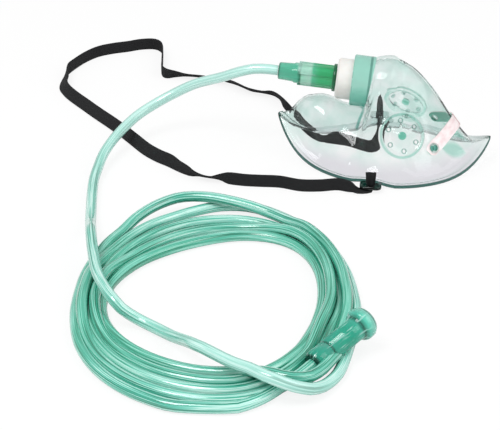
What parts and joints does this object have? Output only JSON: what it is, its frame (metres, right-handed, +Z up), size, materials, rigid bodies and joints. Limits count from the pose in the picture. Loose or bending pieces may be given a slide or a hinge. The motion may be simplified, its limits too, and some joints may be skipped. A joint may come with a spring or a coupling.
{
  "type": "oxygen face mask",
  "caption": "Clear moulded oxygen face mask with vent discs, nose clip, side port with adapter, head strap and coiled supply tubing ending in a funnel connector.",
  "frame": {"origin": "on the table under the middle of the mask, between the two strap tabs", "axes": "+X towards the nose end of the mask, +Y towards its far cheek, +Z up"},
  "size_m": [0.2826, 0.444, 0.0647],
  "materials": {
    "shell_clear": "clear gloss",
    "clip_metal": "satin",
    "collar_green": "translucent gloss",
    "cup_white": "satin",
    "connector_green": "translucent gloss",
    "strap_black": "matt woven",
    "tube_green": "clear gloss",
    "supply_green": "translucent gloss"
  },
  "bodies": {
    "root": {"mask_shell": "shell_clear", "nose_clip": "clip_metal", "port_collar": "collar_green", "port_cup": "cup_white", "tubing_connector": "connector_green", "elastic_strap": "strap_black", "oxygen_tube_lead": "tube_green", "oxygen_tube_coil": "tube_green", "oxygen_tube_tail": "tube_green", "supply_connector": "supply_green"}
  },
  "joints": []
}
